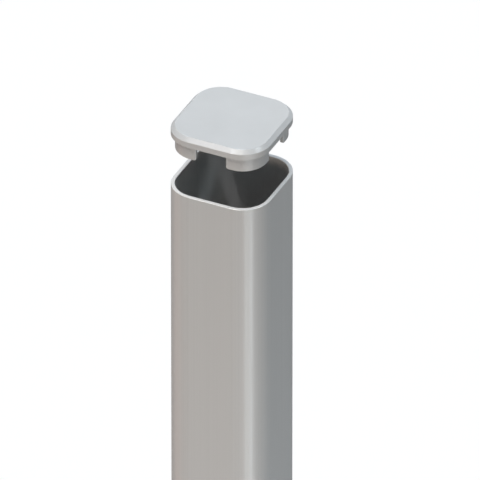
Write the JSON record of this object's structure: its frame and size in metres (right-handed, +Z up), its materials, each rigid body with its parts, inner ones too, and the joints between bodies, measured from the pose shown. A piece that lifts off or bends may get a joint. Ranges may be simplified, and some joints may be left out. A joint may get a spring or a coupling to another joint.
{
  "type": "metal fence post",
  "caption": "Square hollow aluminium fence post with rounded corners and a push-in cap that seats on its open top.",
  "frame": {"origin": "centre of the post's foot end, in the plane of the sawn end", "axes": "+Z up the post to its cap, +X and +Y square to two neighbouring sides"},
  "size_m": [0.07, 0.07, 1.0957],
  "materials": {
    "post_metal": "satin silver grey",
    "cap_moulding": "smooth satin grey moulding"
  },
  "bodies": {
    "post": {"post_tube": "post_metal"},
    "cap": {"post_cap": "cap_moulding"}
  },
  "joints": [
    {"name": "cap_slide", "type": "slide", "parent": "post", "child": "cap", "axis": [0, 0, 1], "range_m": [-0.039, 0]}
  ]
}
